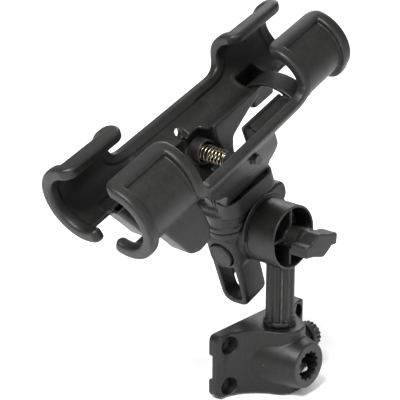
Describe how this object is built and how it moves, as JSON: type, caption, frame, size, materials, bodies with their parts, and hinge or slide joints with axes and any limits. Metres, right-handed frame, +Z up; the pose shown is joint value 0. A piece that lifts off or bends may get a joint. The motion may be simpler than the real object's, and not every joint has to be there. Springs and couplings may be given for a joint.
{
  "type": "rod holder",
  "caption": "Wall-mount fishing rod holder: splined lift-out post, ratchet tilt arm with clamp knob, swivel head and spring-open jaws that cradle the rod.",
  "frame": {"origin": "centre of the wall bracket's back face", "axes": "+Y into the wall, +Z up, +X along the bracket towards the rod tip"},
  "size_m": [0.2299, 0.1191, 0.2744],
  "materials": {
    "glass_filled_nylon": "fine-grained charcoal black moulding, satin on rounded edges",
    "stainless": "passivated stainless steel",
    "spring_steel": "drawn spring wire",
    "jaw_spring_wire": "straw-coloured drawn spring wire"
  },
  "bodies": {
    "base": {"base_bracket": "glass_filled_nylon"},
    "post_lock": {"post_lock_knob": "glass_filled_nylon", "post_lock_screw": "stainless"},
    "post": {"post_ratchet_half": "glass_filled_nylon", "ratchet_spring": "spring_steel"},
    "clamp": {"clamp_knob": "glass_filled_nylon", "clamp_washer": "stainless", "clamp_bolt": "stainless"},
    "arm": {"ratchet_arm": "glass_filled_nylon", "clamp_nut": "stainless", "button_spring": "spring_steel", "pivot_bolt": "stainless", "pivot_washer": "stainless"},
    "button": {"release_button": "glass_filled_nylon"},
    "head": {"head_tray": "glass_filled_nylon", "swivel_boss": "glass_filled_nylon", "hinge_pin": "stainless", "hinge_clips": "spring_steel"},
    "right_jaw": {"right_jaw": "glass_filled_nylon", "stop_pin": "glass_filled_nylon", "jaw_spring": "jaw_spring_wire"},
    "left_jaw": {"left_jaw": "glass_filled_nylon"}
  },
  "joints": [
    {"name": "post_lift", "type": "slide", "parent": "base", "child": "post", "axis": [0, 0, 1], "range_m": [0, 0.045]},
    {"name": "post_lock_turn", "type": "hinge", "parent": "base", "child": "post_lock", "pos_m": [0.03, -0.0248, 0.003], "axis": [1, 0, 0], "range_deg": [0, 720]},
    {"name": "clamp_knob_turn", "type": "hinge", "parent": "post", "child": "clamp", "pos_m": [0, -0.04, 0.0925], "axis": [0, 1, 0], "range_deg": [0, 720]},
    {"name": "ratchet_tilt", "type": "hinge", "parent": "post", "child": "arm", "pos_m": [0, 0.008, 0.0925], "axis": [0, 1, 0], "range_deg": [-50, 60]},
    {"name": "button_press", "type": "slide", "parent": "arm", "child": "button", "axis": [0.9285, 0, 0.3714], "range_m": [0, 0.003], "stiffness_N_per_m": 800, "springref_m": -0.002, "deforming": ["button_spring"]},
    {"name": "head_swivel", "type": "hinge", "parent": "arm", "child": "head", "pos_m": [-0.0195, 0.008, 0.10624], "axis": [-0.3714, 0, 0.9285], "continuous": true},
    {"name": "right_jaw_close", "type": "hinge", "parent": "head", "child": "right_jaw", "pos_m": [-0.01728, 0.00755, 0.12759], "axis": [-0.9275, 0.0454, -0.371], "range_deg": [0, 7], "stiffness_Nm_per_rad": 1.5, "springref_deg": -8.59, "deforming": ["jaw_spring"]},
    {"name": "left_jaw_close", "type": "hinge", "parent": "head", "child": "left_jaw", "pos_m": [-0.01728, 0.00755, 0.12759], "axis": [-0.9275, 0.0454, -0.371], "range_deg": [-7, 0]}
  ],
  "couplings": [
    {"joint": "left_jaw_close", "follows": "right_jaw_close", "ratio": -1}
  ]
}
